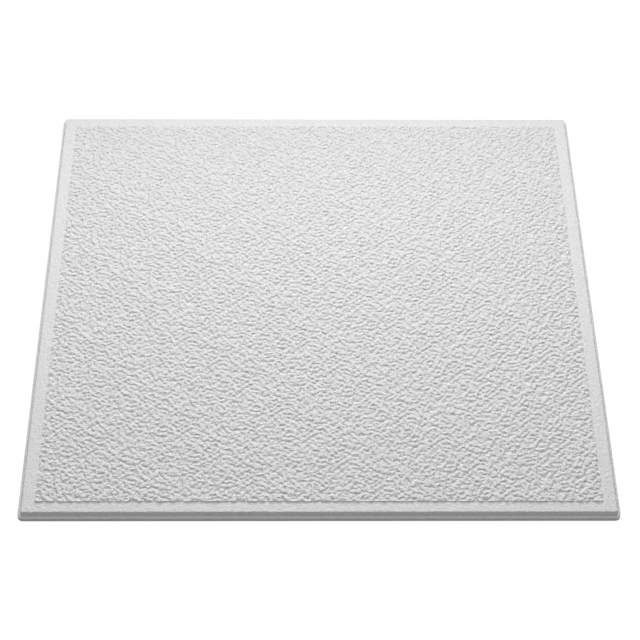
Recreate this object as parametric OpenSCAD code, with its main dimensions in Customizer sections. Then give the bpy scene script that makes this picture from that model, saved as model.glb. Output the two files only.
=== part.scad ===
// Polystyrene ceiling tile, 50 x 50 cm. It is one moulded piece of foam with a
// flat back, a thin lip that runs round it, a smooth rim and a raised field of
// rough plaster-like relief. The back lies on z = 0, the face looks up, and the
// origin is at the middle of the back.

/* [Tile] */
// Length of each side, measured over the lip
tile_side = 500; // [300:10:600]
// Height of the smooth rim above the back
rim_height = 8.5; // [7:0.5:16]
// Width of the smooth rim, from the top of the side wall to the relief
rim_width = 10.6; // [4:0.2:30]
// Plan radius of the rim at its four corners
corner_radius = 0.6; // [0.2:0.2:8]

/* [Edge] */
// Thickness of the lip
lip_thickness = 3.5; // [2:0.5:5]
// Width of the ledge on top of the lip
ledge_width = 2.4; // [1:0.1:6]
// How far the side wall leans in over its height
wall_lean = 0.6; // [0.1:0.1:1.5]
// Radius of the edge between the side wall and the rim
arris_radius = 1; // [0.2:0.1:1.5]

/* [Relief] */
// Height of the highest crests above the rim
crest_height = 2; // [1:0.1:4]
// Height of the deepest hollows above the rim
hollow_height = 0.2; // [0.1:0.1:0.9]
// Size of the grain, about half the way from one crest to the next
grain_size = 3.4; // [2:0.2:12]
// Short side of the rectangle in which the pattern repeats
repeat_width = 40; // [20:1:80]
// Long side of the rectangle in which the pattern repeats
repeat_length = 72; // [30:1:120]
// Angle from the tile's side to the repeat's short side
repeat_angle = -45; // [-90:5:90]
// Number that picks another pattern of the same kind
pattern_seed = 7; // [1:1:99]
// Side of the facets that the relief is drawn with
facet_size = 6.4; // [6.4:0.2:24]

/* [Hidden] */
foam = "#f4f4f1";
$fn = 48;

// Edge
lean_angle = atan(wall_lean / (rim_height - lip_thickness));
// Distance from the tile's side to the line where the arris runs out into the rim
arris_inset = ledge_width + wall_lean + arris_radius * (1 - sin(lean_angle)) / cos(lean_angle);
// Plan radius of the lip, whose corners share their centres with the rim's
lip_corner_radius = corner_radius + arris_inset;

// Relief
field_side = tile_side - 2 * (arris_inset + rim_width);
grains_across = round(repeat_width / grain_size);
grains_along = round(repeat_length / grain_size);
facet_count = round(field_side / facet_size);
// How far a facet's corner strays from its place in the grid, in facets
facet_scatter = 0.25;
// Noise value at which a crest or a hollow is at its limit
noise_limit = 0.5;
// How far the relief's block reaches down into the plate
relief_root = 1;

// A number from 0 to 1 that looks random and depends only on its arguments
function chance(column, row, use) =
    let (wave = sin(column * 127.1 + row * 311.7 + use * 269.5 + pattern_seed * 74.7) * 43758.5453)
    wave - floor(wave);

function wrap(number, count) = number - count * floor(number / count);

// Curve that eases from 0 at t = 0 to 1 at t = 1
function ease(t) = t * t * t * (t * (6 * t - 15) + 10);

// What the slope chosen for one crossing of the grain's grid adds at a place
function crossing_noise(place, column, row) =
    let (
        turn = 360 * chance(wrap(column, grains_across), wrap(row, grains_along), 0),
        away = place - [column, row]
    )
    away * [cos(turn), sin(turn)] * ease(1 - abs(away.x)) * ease(1 - abs(away.y));

// Gradient noise at a place measured in grains. It starts again after each repeat
function noise(place) =
    let (column = floor(place.x), row = floor(place.y))
    crossing_noise(place, column, row)
    + crossing_noise(place, column + 1, row)
    + crossing_noise(place, column, row + 1)
    + crossing_noise(place, column + 1, row + 1);

// Height of the relief above the rim at a place on the face
function relief(place) =
    let (
        across = place * [cos(repeat_angle), sin(repeat_angle)],
        along = place * [-sin(repeat_angle), cos(repeat_angle)],
        grains = [across / repeat_width * grains_across, along / repeat_length * grains_along],
        swing = max(-1, min(1, noise(grains) / noise_limit))
    )
    (crest_height + hollow_height) / 2 + (crest_height - hollow_height) / 2 * swing;

// Moves a facet's corner off its place in the grid, but never off the boundary
function stray(number, luck) =
    number == 0 || number == facet_count ? number
    : number + facet_scatter * (2 * luck - 1);

function facet_corner(column, row) =
    let (
        grid = [stray(column, chance(column, row, 1)), stray(row, chance(column, row, 2))],
        place = grid * field_side / facet_count - [field_side, field_side] / 2
    )
    [place.x, place.y, relief(place)];

// Section through one edge of the tile, with the tile's side at x = 0
module edge_section() {
    arris_z = rim_height - arris_radius;
    translate([-arris_inset, arris_z]) circle(r = arris_radius);
    polygon([
        [-lip_corner_radius, 0],
        [0, 0],
        [0, lip_thickness],
        [-ledge_width, lip_thickness],
        [-arris_inset, arris_z] + arris_radius * [cos(lean_angle), sin(lean_angle)],
        [-arris_inset, rim_height],
        [-lip_corner_radius, rim_height]
    ]);
}

// Straight part of the plate, with an edge section at each end
module bar() {
    reach = tile_side / 2 - lip_corner_radius;
    rotate([90, 0, 0])
        linear_extrude(2 * reach, center = true) {
            translate([-reach, 0]) square([2 * reach, rim_height]);
            for (end = [0, 1])
                mirror([end, 0]) translate([tile_side / 2, 0]) edge_section();
        }
}

// Quarter turn of the edge section
module corner() {
    rotate_extrude(angle = 90)
        intersection() {
            translate([lip_corner_radius, 0]) edge_section();
            square([lip_corner_radius, rim_height]);
        }
}

// Plate with its lip, ledge, side walls and smooth rim
module plate() {
    reach = tile_side / 2 - lip_corner_radius;
    bar();
    rotate(90) bar();
    for (turn = [0:90:270])
        rotate(turn) translate([reach, reach]) corner();
}

// Block that is rooted in the plate and carries the relief on its top
module relief_field() {
    n = facet_count;
    row_points = n + 1;
    top = [for (column = [0:n], row = [0:n]) facet_corner(column, row)];
    // Numbers of the points along the four sides, anticlockwise
    outline = concat(
        [for (column = [0:n - 1]) column * row_points],
        [for (row = [0:n - 1]) n * row_points + row],
        [for (column = [n:-1:1]) column * row_points + n],
        [for (row = [n:-1:1]) row]
    );
    root = [
        for (side = [0:3])
            let (end = top[outline[side * n]])
            [end.x, end.y, -relief_root]
    ];
    facets = [
        for (column = [0:n - 1], row = [0:n - 1])
            let (first = column * row_points + row, next = first + row_points)
            each [[first, first + 1, next + 1], [first, next + 1, next]]
    ];
    walls = [
        for (side = [0:3])
            concat(
                [for (k = [n:-1:0]) outline[(side * n + k) % (4 * n)]],
                [len(top) + side, len(top) + (side + 1) % 4]
            )
    ];
    underside = [for (side = [0:3]) len(top) + side];
    translate([0, 0, rim_height])
        polyhedron(concat(top, root), concat(facets, walls, [underside]), convexity = 10);
}

module tile() {
    color(foam) {
        plate();
        relief_field();
    }
}

tile();
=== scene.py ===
"""A moulded polystyrene ceiling tile with fine relief and a foam finish, in a plain white studio."""

import math

import bpy
import numpy as np
from bpy.props import FloatProperty, FloatVectorProperty, IntProperty, PointerProperty
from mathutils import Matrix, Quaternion, Vector


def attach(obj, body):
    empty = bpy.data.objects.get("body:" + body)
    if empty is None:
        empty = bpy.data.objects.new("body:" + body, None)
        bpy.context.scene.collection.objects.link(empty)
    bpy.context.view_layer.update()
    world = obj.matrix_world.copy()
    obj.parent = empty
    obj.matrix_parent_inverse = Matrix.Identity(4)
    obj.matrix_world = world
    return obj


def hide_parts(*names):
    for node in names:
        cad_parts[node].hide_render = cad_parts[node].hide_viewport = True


bl_info = {
    "name": "Polystyrene ceiling tile",
    "version": (1, 0, 0),
    "blender": (4, 5, 0),
    "location": "View3D > Sidebar > Ceiling tile",
    "description": "Builds a moulded foam ceiling tile with a rough plaster-like relief",
    "category": "Add Mesh",
}

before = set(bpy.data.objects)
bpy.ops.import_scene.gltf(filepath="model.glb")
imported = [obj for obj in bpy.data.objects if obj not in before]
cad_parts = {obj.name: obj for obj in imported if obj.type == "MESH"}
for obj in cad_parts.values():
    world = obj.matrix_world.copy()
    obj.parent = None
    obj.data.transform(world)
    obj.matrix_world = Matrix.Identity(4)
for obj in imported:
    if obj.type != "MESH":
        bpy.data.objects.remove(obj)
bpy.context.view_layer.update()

MM = 0.001
# Closer than this, two measured places on the CAD solid count as one
SAME = 0.001 * MM


def solid_sizes(node):
    """The sizes of the CAD tile that the fine one has to keep, read from its corners."""
    corners = np.array([v.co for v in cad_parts[node].data.vertices])
    plan = np.abs(corners[:, :2])
    out = plan.max(axis=1)
    height = corners[:, 2]
    half_side = out.max()
    straight = plan[out > half_side - SAME].min(axis=1).max()
    on_section = (np.abs(plan.min(axis=1) - straight) < SAME) & (out > straight + SAME)
    section = np.round(np.column_stack([half_side - out, height])[on_section] / SAME) * SAME
    # From the rim down to the back, and outwards where two places are equally high
    places = {tuple(place) for place in section.tolist()}
    section = sorted(places, key=lambda place: (-place[1], -place[0]))
    rim_height = section[0][1]
    return {
        "half_side": float(half_side),
        "corner_radius": float(half_side - straight),
        "section": section,
        "rim_height": rim_height,
        "half_field": float(out[height > rim_height + SAME].max()),
        "crest_height": float(height.max() - rim_height),
    }


SOLID = solid_sizes("tile")


def length(name, description, default, low=0.0, high=1.0):
    """A size in metres that the sidebar shows in the scene's own unit."""
    return FloatProperty(
        name=name,
        description=description,
        default=default,
        min=low,
        max=high,
        precision=5,
        unit="LENGTH",
    )


def number(name, description, default, low=0.0, high=1.0):
    """A share, a strength or another number without a unit."""
    return FloatProperty(name=name, description=description, default=default, min=low, max=high)


def angle(name, description, degrees):
    """An angle that is given in degrees."""
    return FloatProperty(
        name=name, description=description, default=math.radians(degrees), subtype="ANGLE"
    )


def watts(name, description, default):
    """The power of a lamp."""
    return FloatProperty(
        name=name, description=description, default=default, min=0, soft_max=100, unit="POWER"
    )


class TileShape(bpy.types.PropertyGroup):
    """Sizes of the relief and of the tile's small roundings."""

    rows: IntProperty(
        name="Rows",
        description="Squares in the relief's mesh along each side",
        default=310,
        min=40,
        max=310,
    )
    crest_height: length("Crest height", "Highest crests above the rim", SOLID["crest_height"])
    hollow_height: length("Hollow height", "Deepest hollows above the rim", 0.2 * MM)
    grain_size: length(
        "Grain size", "About half the way from one crest to the next", 3.65 * MM, low=1 * MM
    )
    grain_lean: number(
        "Grain lean", "How far the crests keep to the tile's width, 0 for not at all", 0.15, high=0.5
    )
    noise_limit: number(
        "Noise limit",
        "Noise at which a crest or a hollow is at its limit, so less of it makes steeper slopes",
        0.625,
        low=0.05,
    )
    hollow_bend: number(
        "Hollow bend",
        "How much narrower and deeper the hollows are than the crests, 0 for alike",
        0.16,
        high=0.5,
    )
    repeat_width: length(
        "Repeat width", "Short side of the rectangle in which the relief repeats", 40 * MM
    )
    repeat_length: length("Repeat length", "Long side of that rectangle", 72 * MM)
    repeat_angle: angle("Repeat angle", "From the tile's side to the repeat's short side", -45)
    seed: IntProperty(
        name="Seed", description="Picks another pattern of the same kind", default=47, min=0
    )
    field_shift: length(
        "Field shift", "How far the relief lies off the tile's middle, towards the front", 0.6 * MM
    )
    border_share: number(
        "Border share", "Share of its height that the relief has at its border", 0.72
    )
    border_stray: length(
        "Border stray", "How far crests push the relief's border out, and hollows in", 0.6 * MM
    )
    lip_radius: length("Lip radius", "Rounding of the lip's two outer edges", 0.15 * MM)


class FoamFinish(bpy.types.PropertyGroup):
    """Colour and skin of the foam."""

    colour: FloatVectorProperty(
        name="Colour",
        description="Colour of the foam",
        subtype="COLOR",
        default=(0.9, 0.9, 0.9),
        min=0,
        max=1,
    )
    roughness: number("Roughness", "Roughness of the skin", 0.7)
    fine_share: number("Fine share", "Strength of the relief's finer half-size grain", 0.3)
    skin_depth: length("Skin depth", "Depth of the faint grain of the moulded skin", 0.25 * MM)
    bead_size: length("Bead size", "Width of one foam bead", 3 * MM, 0.5 * MM)


class Studio(bpy.types.PropertyGroup):
    """Light, floor and camera."""

    ambient: FloatProperty(
        name="Ambient", description="Light from all round", default=0.204, min=0, soft_max=2
    )
    lamp_width: length("Lamp width", "Width of each lamp, from left to right", 0.9, high=5)
    lamp_depth: length("Lamp depth", "Other side of each lamp", 0.4, high=5)
    key_power: watts("Key power", "Power of the low lamp behind the tile", 36.2)
    key_height: length("Key height", "Height of that lamp", 0.612, high=10)
    key_behind: length(
        "Key behind", "How far that lamp stands behind the tile's middle", 1.077, high=10
    )
    key_tilt: angle(
        "Key tilt", "Turn of that lamp from looking straight down, towards the front and up", 143
    )
    rear_power: watts("Rear power", "Power of the lamp over the tile's rear edge", 3.9)
    rear_height: length("Rear height", "Height of that lamp", 0.716, high=10)
    rear_behind: length(
        "Rear behind", "How far that lamp stands behind the tile's middle", 0.419, low=-10, high=10
    )
    top_power: watts("Top power", "Power of the lamp high over the tile", 3.62)
    top_height: length("Top height", "Height of that lamp", 1.5, high=10)
    top_behind: length(
        "Top behind", "How far that lamp stands behind the tile's middle", -0.127, low=-10, high=10
    )
    floor_shade: number("Floor shade", "How much light the floor throws back", 0.59)


def feed(tree, socket, value):
    """Links a socket to a socket's value, or sets a plain value on it."""
    if isinstance(value, bpy.types.NodeSocket):
        tree.links.new(value, socket)
    else:
        socket.default_value = value


def add_node(tree, kind, inputs=(), **settings):
    """A node with its settings made and its inputs fed, by number or by name."""
    node = tree.nodes.new(kind)
    for name, value in settings.items():
        setattr(node, name, value)
    for key, value in dict(inputs).items():
        feed(tree, node.inputs[key], value)
    return node


def maths(tree, operation, *values):
    """The result of a Math node."""
    return add_node(tree, "ShaderNodeMath", enumerate(values), operation=operation).outputs[0]


def vectors(tree, operation, *values, output=0):
    """The result of a Vector Math node."""
    node = add_node(tree, "ShaderNodeVectorMath", enumerate(values), operation=operation)
    return node.outputs[output]


def corner_slope(tree, cell, part, corner, counts, strokes):
    """What the random slope at one corner of a cell of the grid adds at a place in that cell."""
    crossing = vectors(tree, "WRAP", vectors(tree, "ADD", cell, corner), counts, (0, 0, 0))
    chance = add_node(
        tree, "ShaderNodeTexWhiteNoise", {"Vector": crossing}, noise_dimensions="3D"
    ).outputs["Value"]
    turn = maths(tree, "MULTIPLY", chance, math.tau)
    # More of the slopes run towards the tile's front and back, so that its crests lie along its width
    double, share = strokes
    lean = maths(tree, "SINE", maths(tree, "MULTIPLY_ADD", turn, 2.0, double))
    slope = add_node(
        tree,
        "ShaderNodeVectorRotate",
        {"Vector": (1, 0, 0), "Angle": maths(tree, "MULTIPLY_ADD", lean, share, turn)},
        rotation_type="Z_AXIS",
    ).outputs[0]
    return vectors(tree, "DOT_PRODUCT", vectors(tree, "SUBTRACT", part, corner), slope, output="Value")


NOISE_SIZES = ("Repeat width", "Repeat length", "Repeat angle", "Grain size", "Grain lean", "Seed")
# From this seed on the patterns come again
SEEDS = 1000


def noise_layer(tree, place, counts, strokes, seed):
    """Gradient noise at a place in the cells of a grid that starts again after these counts."""
    cell = vectors(tree, "FLOOR", place)
    part = vectors(tree, "SUBTRACT", place, cell)
    seeded = vectors(tree, "ADD", cell, add_node(tree, "ShaderNodeCombineXYZ", {2: seed}).outputs[0])
    slopes = [
        corner_slope(tree, seeded, part, (x, y, 0), counts, strokes) for y in (0, 1) for x in (0, 1)
    ]
    ease = add_node(
        tree,
        "ShaderNodeMapRange",
        {"Vector": part},
        data_type="FLOAT_VECTOR",
        interpolation_type="SMOOTHERSTEP",
    ).outputs["Vector"]
    eased = add_node(tree, "ShaderNodeSeparateXYZ", {0: ease}).outputs
    near = add_node(tree, "ShaderNodeMix", {0: eased[0], 2: slopes[0], 3: slopes[1]}).outputs[0]
    far = add_node(tree, "ShaderNodeMix", {0: eased[0], 2: slopes[2], 3: slopes[3]}).outputs[0]
    return add_node(tree, "ShaderNodeMix", {0: eased[1], 2: near, 3: far}).outputs[0]


def noise_group(kind):
    """A group of nodes for gradient noise on a slanted grid that starts again after each repeat."""
    tree = bpy.data.node_groups.new("Repeating noise", kind)
    tree.interface.new_socket(name="Position", in_out="INPUT", socket_type="NodeSocketVector")
    for name in NOISE_SIZES:
        tree.interface.new_socket(name=name, in_out="INPUT", socket_type="NodeSocketFloat")
    tree.interface.new_socket(name="Noise", in_out="OUTPUT", socket_type="NodeSocketFloat")
    given = add_node(tree, "NodeGroupInput").outputs
    turned = add_node(
        tree,
        "ShaderNodeVectorRotate",
        {"Vector": given["Position"], "Angle": maths(tree, "MULTIPLY", given["Repeat angle"], -1.0)},
        rotation_type="Z_AXIS",
    ).outputs[0]
    sides = add_node(
        tree, "ShaderNodeCombineXYZ", {0: given["Repeat width"], 1: given["Repeat length"], 2: 1.0}
    ).outputs[0]
    sizes = add_node(
        tree, "ShaderNodeCombineXYZ", {0: given["Grain size"], 1: given["Grain size"], 2: 1.0}
    ).outputs[0]
    # Each side of the repeat has a whole number of cells, the one that comes nearest to the grain size
    halves = vectors(tree, "ADD", vectors(tree, "DIVIDE", sides, sizes), (0.5, 0.5, 0))
    counts = vectors(tree, "FLOOR", halves)
    place = vectors(tree, "MULTIPLY", vectors(tree, "DIVIDE", turned, sides), counts)
    level = add_node(tree, "ShaderNodeSeparateXYZ", {0: place}).outputs
    flat = add_node(tree, "ShaderNodeCombineXYZ", {0: level[0], 1: level[1]}).outputs[0]
    wraps = vectors(tree, "MULTIPLY", counts, (1, 1, SEEDS))
    strokes = (maths(tree, "MULTIPLY", given["Repeat angle"], 2.0), given["Grain lean"])
    # One layer alone is level at each crossing of its grid, so a second lies half a cell off
    layers = [
        noise_layer(
            tree,
            vectors(tree, "ADD", flat, (shift, shift, 0)),
            wraps,
            strokes,
            maths(tree, "ADD", given["Seed"], shift),
        )
        for shift in (0, 0.5)
    ]
    noise = maths(tree, "MULTIPLY", maths(tree, "ADD", *layers), math.sqrt(0.5))
    add_node(tree, "NodeGroupOutput", {0: noise})
    return tree


def repeating_noise(tree, group, position, size):
    """The noise at a position, for the relief's sizes."""
    node = tree.nodes.new("ShaderNodeGroup" if tree.type == "SHADER" else "GeometryNodeGroup")
    node.node_tree = group
    feed(tree, node.inputs["Position"], position)
    for name in NOISE_SIZES:
        feed(tree, node.inputs[name], size[name])
    return node.outputs[0]


def relief_height(tree, noise, size):
    """Height of the relief above the rim, between its narrow hollows and its broader crests."""
    lowest = maths(tree, "MULTIPLY", size["Noise limit"], -1.0)
    swing = add_node(
        tree,
        "ShaderNodeMapRange",
        {"Value": noise, "From Min": lowest, "From Max": size["Noise limit"], "To Min": -1.0},
    ).outputs[0]
    bend = size["Hollow bend"]
    square = maths(tree, "MULTIPLY", swing, swing)
    bent = maths(tree, "SUBTRACT", swing, maths(tree, "MULTIPLY", square, bend))
    return add_node(
        tree,
        "ShaderNodeMapRange",
        {
            "Value": bent,
            "From Min": maths(tree, "SUBTRACT", -1.0, bend),
            "From Max": maths(tree, "SUBTRACT", 1.0, bend),
            "To Min": size["Hollow height"],
            "To Max": size["Crest height"],
        },
        interpolation_type="SMOOTHSTEP",
    ).outputs[0]


RELIEF_SIZES = (
    "Crest height",
    "Hollow height",
    "Grain size",
    "Grain lean",
    "Noise limit",
    "Hollow bend",
    "Repeat width",
    "Repeat length",
    "Repeat angle",
    "Seed",
)


def relief_values(shape):
    """The relief's sizes by the names that the trees use."""
    return {name: getattr(shape, name.lower().replace(" ", "_")) for name in RELIEF_SIZES}


def relief_tree():
    """Geometry Nodes that raise the points of the field by a plaster-like relief."""
    tree = bpy.data.node_groups.new("Plaster relief", "GeometryNodeTree")
    tree.interface.new_socket(name="Geometry", in_out="OUTPUT", socket_type="NodeSocketGeometry")
    tree.interface.new_socket(name="Geometry", in_out="INPUT", socket_type="NodeSocketGeometry")
    for name in RELIEF_SIZES:
        tree.interface.new_socket(name=name, in_out="INPUT", socket_type="NodeSocketFloat")
    tree.interface.new_socket(name="Border stray", in_out="INPUT", socket_type="NodeSocketFloat")
    tree.interface.new_socket(name="Material", in_out="INPUT", socket_type="NodeSocketMaterial")
    given = add_node(tree, "NodeGroupInput").outputs
    raised, outward = (
        add_node(
            tree, "GeometryNodeInputNamedAttribute", {"Name": name}, data_type=kind
        ).outputs["Attribute"]
        for name, kind in (("raised", "FLOAT"), ("outward", "FLOAT_VECTOR"))
    )
    position = add_node(tree, "GeometryNodeInputPosition").outputs[0]
    noise = repeating_noise(tree, noise_group("GeometryNodeTree"), position, given)
    height = relief_height(tree, noise, given)
    rise = maths(tree, "MULTIPLY", height, raised)
    lift = add_node(tree, "ShaderNodeCombineXYZ", {2: rise}).outputs[0]
    stray = add_node(
        tree,
        "ShaderNodeMapRange",
        {
            "Value": height,
            "From Min": given["Hollow height"],
            "From Max": given["Crest height"],
            "To Min": maths(tree, "MULTIPLY", given["Border stray"], -1.0),
            "To Max": given["Border stray"],
        },
    ).outputs[0]
    offset = vectors(tree, "ADD", lift, vectors(tree, "MULTIPLY", outward, stray))
    moved = add_node(
        tree, "GeometryNodeSetPosition", {"Geometry": given["Geometry"], "Offset": offset}
    ).outputs[0]
    real = add_node(tree, "GeometryNodeRealizeInstances", {0: moved}).outputs[0]
    dressed = add_node(
        tree, "GeometryNodeSetMaterial", {0: real, "Material": given["Material"]}
    ).outputs[0]
    add_node(tree, "NodeGroupOutput", {0: dressed})
    return tree


# Steps in the rounding of each corner in plan, an even number
CORNER_STEPS = 8
RING_POINTS = 4 * (CORNER_STEPS + 1)
# Steps in the rounding of each outer edge of the lip
LIP_STEPS = 3
# Width of the strip beside a rounding that keeps the next flat face's shading flat
HOLD = 0.2 * MM


def ring_points(inset, height):
    """The tile's outline at a distance in from its side, anticlockwise from the near left corner."""
    radius = SOLID["corner_radius"] - inset
    reach = SOLID["half_side"] - SOLID["corner_radius"]
    steps = range(CORNER_STEPS + 1)
    angles = np.radians([[180 + 90 * k + 90 * s / CORNER_STEPS for s in steps] for k in range(4)])
    centres = reach * np.array([[-1, -1], [1, -1], [1, 1], [-1, 1]])[:, None]
    plan = centres + radius * np.stack([np.cos(angles), np.sin(angles)], axis=-1)
    return np.column_stack([plan.reshape(-1, 2), np.full(RING_POINTS, height)])


def lip_rounding(radius, level, turn):
    """Places on a quarter turn, from the lip's top to its side (turn 90) or on to the back (turn 0)."""
    for k in range(LIP_STEPS + 1):
        around = math.radians(turn - 90 * k / LIP_STEPS)
        yield radius - radius * math.cos(around), level + radius * math.sin(around)


def edge_section(lip_radius):
    """The section from the rim to the back as (distance in, height), with its outer edges rounded."""
    *upper, (_, lip), (_, back) = SOLID["section"]
    rim_strip = (upper[0][0] + HOLD, SOLID["rim_height"])
    top_edge = lip_rounding(lip_radius, lip - lip_radius, 90)
    back_edge = lip_rounding(lip_radius, back + lip_radius, 0)
    back_strip = (lip_radius + HOLD, back)
    return [rim_strip, *upper, *top_edge, *back_edge, back_strip]


def blank_tile(shape):
    """The closed mesh of the tile before its relief is raised."""
    rows = shape.rows
    line = np.linspace(-SOLID["half_field"], SOLID["half_field"], rows + 1)
    grid = np.stack(np.meshgrid(line, line, indexing="ij"), axis=-1).reshape(-1, 2)
    field = np.column_stack([grid, np.full(len(grid), SOLID["rim_height"])])
    order = np.arange(len(field)).reshape(rows + 1, rows + 1)
    border = np.concatenate([order[:-1, 0], order[-1, :-1], order[:0:-1, -1], order[0, :0:-1]])
    foot = len(field) + np.arange(len(border))
    section = edge_section(shape.lip_radius)
    rings = [foot[-1] + 1 + RING_POINTS * k + np.arange(RING_POINTS) for k in range(len(section))]
    points = np.concatenate([field, field[border], *(ring_points(*place) for place in section)])

    squares = np.stack([order[:-1, :-1], order[1:, :-1], order[1:, 1:], order[:-1, 1:]], axis=-1)
    faces = squares.reshape(-1, 4).tolist()
    for upper, lower in [(border, foot), *zip(rings, rings[1:])]:
        faces += np.stack([lower, np.roll(lower, -1), np.roll(upper, -1), upper], axis=1).tolist()
    # One flat face for each side of the rim, between the middles of two corners
    corner = CORNER_STEPS + 1
    for side in range(4):
        outer = (side * corner + corner // 2 + np.arange(corner + 1)) % RING_POINTS
        inner = (side * rows + np.arange(rows, -1, -1)) % len(foot)
        faces.append([*rings[0][outer].tolist(), *foot[inner].tolist()])
    faces.append(rings[-1][::-1].tolist())

    # Shares of the relief's height, and directions in which its border strays
    raised = (np.arange(len(points)) < len(field)).astype(np.float32)
    raised[border] = shape.border_share
    outward = np.where(np.abs(np.abs(points) - SOLID["half_field"]) < SAME, np.sign(points), 0)
    ring_start = foot[-1] + 1
    outward[ring_start:] = 0
    points[:ring_start, 1] -= shape.field_shift

    mesh = bpy.data.meshes.new("blank_tile")
    mesh.from_pydata(points.tolist(), [], faces)
    on_field = (np.arange(len(faces)) < rows * rows).astype(np.float32)
    mesh.attributes.new("raised", "FLOAT", "POINT").data.foreach_set("value", raised)
    mesh.attributes.new("outward", "FLOAT_VECTOR", "POINT").data.foreach_set("vector", outward.ravel())
    mesh.attributes.new("on_field", "FLOAT", "FACE").data.foreach_set("value", on_field)
    # The ring in the corner between the side wall and the ledge, before the lip's own two edges
    wall_foot = len(SOLID["section"]) - 2
    mark_sharp(mesh, [border, foot, rings[wall_foot]])
    return mesh


def mark_sharp(mesh, loops):
    """Smooth shading all over but for these closed rows of points, which are true edges."""
    mesh.shade_smooth()
    ends = np.zeros(2 * len(mesh.edges), int)
    mesh.edges.foreach_get("vertices", ends)
    sharp = np.zeros(len(mesh.edges), bool)
    for loop in loops:
        marked = np.zeros(len(mesh.vertices), bool)
        marked[loop] = True
        sharp |= marked[ends.reshape(-1, 2)].all(axis=1)
    mesh.attributes.new("sharp_edge", "BOOLEAN", "EDGE").data.foreach_set("value", sharp)


SKIN_SPECULAR = 0.3
# Waves of the skin's grain in each metre
SKIN_GRAIN = 400.0
# Half width of the joints between the beads, in beads, and their depth, in skin depths
JOINT_REACH = 0.12
JOINT_DEPTH = 0.25
# Brightness of the joints against the beads
JOINT_SHADE = 0.9


def foam_skin(shape, finish):
    """White foam with the relief's slopes in full detail, a faint grain and joints between its beads."""
    material = bpy.data.materials.new("Foam skin")
    material.use_nodes = True
    tree = material.node_tree
    surface = tree.nodes["Principled BSDF"]
    surface.inputs["Roughness"].default_value = finish.roughness
    surface.inputs["Specular IOR Level"].default_value = SKIN_SPECULAR
    position = add_node(tree, "ShaderNodeTexCoord").outputs["Object"]
    on_field = add_node(tree, "ShaderNodeAttribute", attribute_name="on_field").outputs["Fac"]

    size = relief_values(shape)
    coarse = repeating_noise(tree, noise_group("ShaderNodeTree"), position, size)
    fine = add_node(
        tree,
        "ShaderNodeTexNoise",
        {"Vector": position, "Scale": 2 / shape.grain_size, "Detail": 0.0},
        normalize=False,
    ).outputs[0]
    relief = relief_height(tree, maths(tree, "MULTIPLY_ADD", fine, finish.fine_share, coarse), size)
    beads = add_node(
        tree,
        "ShaderNodeTexVoronoi",
        {"Vector": position, "Scale": 1 / finish.bead_size},
        feature="DISTANCE_TO_EDGE",
    ).outputs["Distance"]
    joint = add_node(
        tree,
        "ShaderNodeMapRange",
        {"Value": beads, "From Max": JOINT_REACH, "To Min": 1.0, "To Max": 0.0},
    ).outputs[0]
    grain = add_node(
        tree,
        "ShaderNodeTexNoise",
        {"Vector": position, "Scale": SKIN_GRAIN, "Detail": 2.0},
        normalize=False,
    ).outputs[0]
    jointed = maths(tree, "MULTIPLY_ADD", joint, -JOINT_DEPTH, grain)
    skin = maths(tree, "MULTIPLY", jointed, finish.skin_depth)

    # The slopes of the relief start from a level face, because its mesh is coarser than its grain
    level = add_node(
        tree,
        "ShaderNodeVectorTransform",
        {"Vector": (0, 0, 1)},
        vector_type="NORMAL",
        convert_from="OBJECT",
        convert_to="WORLD",
    ).outputs[0]
    own = add_node(tree, "ShaderNodeNewGeometry").outputs["Normal"]
    base = add_node(
        tree, "ShaderNodeMix", {0: on_field, 4: own, 5: level}, data_type="VECTOR"
    ).outputs[1]
    height = maths(tree, "MULTIPLY_ADD", relief, on_field, skin)
    bump = add_node(
        tree, "ShaderNodeBump", {"Height": height, "Distance": 1.0, "Normal": base}
    ).outputs[0]
    feed(tree, surface.inputs["Normal"], bump)

    in_joint = tuple(JOINT_SHADE * part for part in finish.colour)
    shade = add_node(
        tree,
        "ShaderNodeMix",
        {0: joint, 6: (*finish.colour, 1.0), 7: (*in_joint, 1.0)},
        data_type="RGBA",
    ).outputs[2]
    feed(tree, surface.inputs["Base Color"], shade)
    return material


def soft_lamp(name, sides, power, height, behind, tilt=0.0):
    """A lamp behind the tile's middle that looks straight down, or is tilted towards the front."""
    data = bpy.data.lights.new(name, "AREA")
    data.shape = "RECTANGLE"
    data.size, data.size_y = sides
    data.energy = power
    lamp = bpy.data.objects.new(name, data)
    lamp.location = (0, behind, height)
    lamp.rotation_euler = (-tilt, 0, 0)
    lamp.visible_camera = False
    bpy.context.collection.objects.link(lamp)


# The photograph is taken as 640 pixels across, and these place its camera
VIEW_AZIMUTH = math.radians(-1.08)
VIEW_ELEVATION = math.radians(46.486)
VIEW_ROLL = math.radians(0.806)
VIEW_DISTANCE = 1.8463
VIEW_TARGET = Vector((0.00233, -0.0202, 0.0))
FOCAL_PIXELS = 2037.3
PICTURE_PIXELS = 640


def add_camera():
    """The camera at the photograph's viewing angle."""
    data = bpy.data.cameras.new("Camera")
    data.lens = FOCAL_PIXELS / PICTURE_PIXELS * data.sensor_width
    camera = bpy.data.objects.new("Camera", data)
    level = math.cos(VIEW_ELEVATION)
    back = Vector(
        (math.sin(VIEW_AZIMUTH) * level, -math.cos(VIEW_AZIMUTH) * level, math.sin(VIEW_ELEVATION))
    )
    camera.location = VIEW_TARGET + back * VIEW_DISTANCE
    camera.rotation_mode = "QUATERNION"
    camera.rotation_quaternion = back.to_track_quat("Z", "Y") @ Quaternion((0, 0, 1), VIEW_ROLL)
    bpy.context.collection.objects.link(camera)
    bpy.context.scene.camera = camera


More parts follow.
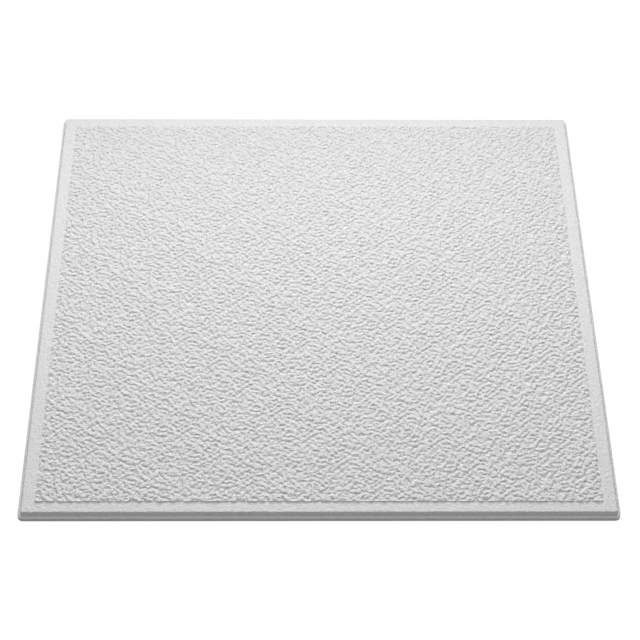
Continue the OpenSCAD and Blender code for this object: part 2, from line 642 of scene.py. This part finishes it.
def seen_rays(tree):
    """1 for rays that look at a background, straight or through gloss or glass, and 0 for light."""
    path = add_node(tree, "ShaderNodeLightPath").outputs
    sharp = maths(tree, "MAXIMUM", path["Is Glossy Ray"], path["Is Transmission Ray"])
    return maths(tree, "MAXIMUM", path["Is Camera Ray"], sharp)


FLOOR_REACH = 6.0
FLOOR_DROP = 0.1 * MM
# Where it is looked at, the floor has this shade, which takes the shadow, and this glow
SEEN_SHADE = 0.15
SEEN_GLOW = 0.95


def grey(shade):
    """A colour without a tint."""
    return (shade, shade, shade, 1.0)


def floor_material(settings):
    """A floor that looks white with a faint shadow, and throws back only some light."""
    material = bpy.data.materials.new("White floor")
    material.use_nodes = True
    tree = material.node_tree
    tree.nodes.clear()
    lit = add_node(tree, "ShaderNodeBsdfDiffuse", {"Color": grey(settings.floor_shade)}).outputs[0]
    pale = add_node(tree, "ShaderNodeBsdfDiffuse", {"Color": grey(SEEN_SHADE)}).outputs[0]
    glow = add_node(tree, "ShaderNodeEmission", {"Strength": SEEN_GLOW}).outputs[0]
    white = add_node(tree, "ShaderNodeAddShader", {0: pale, 1: glow}).outputs[0]
    choice = add_node(tree, "ShaderNodeMixShader", {0: seen_rays(tree), 1: lit, 2: white}).outputs[0]
    add_node(tree, "ShaderNodeOutputMaterial", {"Surface": choice})
    return material


def white_world(settings):
    """Even light from all round, which looks plain white itself."""
    world = bpy.data.worlds.new("Studio")
    world.use_nodes = True
    tree = world.node_tree
    strength = add_node(
        tree,
        "ShaderNodeMapRange",
        {"Value": seen_rays(tree), "To Min": settings.ambient, "To Max": 1.0},
    ).outputs[0]
    background = tree.nodes["Background"]
    background.inputs["Color"].default_value = grey(1.0)
    feed(tree, background.inputs["Strength"], strength)
    bpy.context.scene.world = world


class TILE_OT_foam_tile(bpy.types.Operator):
    """Build the foam tile with its relief and put it in place of the plain solid"""

    bl_idname = "tile.foam_tile"
    bl_label = "Foam tile"

    def execute(self, context):
        shape, finish = context.scene.tile_shape, context.scene.foam_finish
        blank = bpy.data.objects.new("blank_tile", blank_tile(shape))
        context.collection.objects.link(blank)
        modifier = blank.modifiers.new("Relief", "NODES")
        modifier.node_group = relief_tree()
        material = foam_skin(shape, finish)
        given = {**relief_values(shape), "Border stray": shape.border_stray, "Material": material}
        for item in modifier.node_group.interface.items_tree:
            if item.in_out == "INPUT" and item.name in given:
                value = given[item.name]
                modifier[item.identifier] = float(value) if item.name == "Seed" else value
        evaluated = blank.evaluated_get(context.evaluated_depsgraph_get())
        mesh = bpy.data.meshes.new_from_object(evaluated)
        mesh.name = "foam_tile"
        piece = bpy.data.objects.new("foam_tile", mesh)
        context.collection.objects.link(piece)
        bpy.data.objects.remove(blank)
        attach(piece, "root")
        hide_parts("tile")
        return {"FINISHED"}


class TILE_OT_studio(bpy.types.Operator):
    """Add the white floor, the light and the camera"""

    bl_idname = "tile.studio"
    bl_label = "Studio"

    def execute(self, context):
        settings = context.scene.tile_studio
        mesh = bpy.data.meshes.new("floor")
        around = ((-1, -1), (1, -1), (1, 1), (-1, 1))
        corners = [(FLOOR_REACH * x, FLOOR_REACH * y, -FLOOR_DROP) for x, y in around]
        mesh.from_pydata(corners, [], [(0, 1, 2, 3)])
        mesh.materials.append(floor_material(settings))
        floor = bpy.data.objects.new("floor", mesh)
        context.collection.objects.link(floor)
        key = (settings.key_power, settings.key_height, settings.key_behind, settings.key_tilt)
        rear = (settings.rear_power, settings.rear_height, settings.rear_behind)
        top = (settings.top_power, settings.top_height, settings.top_behind)
        for name, place in (("Key lamp", key), ("Rear lamp", rear), ("Top lamp", top)):
            soft_lamp(name, (settings.lamp_width, settings.lamp_depth), *place)
        white_world(settings)
        add_camera()
        context.scene.view_settings.view_transform = "Standard"
        return {"FINISHED"}


class TILE_PT_sidebar(bpy.types.Panel):
    """Lists the tile's sizes, its finish and the studio"""

    bl_idname = "TILE_PT_sidebar"
    bl_label = "Ceiling tile"
    bl_space_type = "VIEW_3D"
    bl_region_type = "UI"
    bl_category = "Ceiling tile"

    def draw(self, context):
        scene = context.scene
        for group, operator in (
            (scene.tile_shape, TILE_OT_foam_tile),
            (scene.foam_finish, None),
            (scene.tile_studio, TILE_OT_studio),
        ):
            box = self.layout.box()
            for name in group.__annotations__:
                box.prop(group, name)
            if operator:
                box.operator(operator.bl_idname)


CLASSES = (TileShape, FoamFinish, Studio, TILE_OT_foam_tile, TILE_OT_studio, TILE_PT_sidebar)
GROUPS = {"tile_shape": TileShape, "foam_finish": FoamFinish, "tile_studio": Studio}


def register():
    for item in CLASSES:
        bpy.utils.register_class(item)
    for name, group in GROUPS.items():
        setattr(bpy.types.Scene, name, PointerProperty(type=group))


def unregister():
    for name in GROUPS:
        delattr(bpy.types.Scene, name)
    for item in reversed(CLASSES):
        bpy.utils.unregister_class(item)


def main():
    register()
    bpy.ops.tile.studio()
    bpy.ops.tile.foam_tile()


if __name__ == "__main__":
    main()
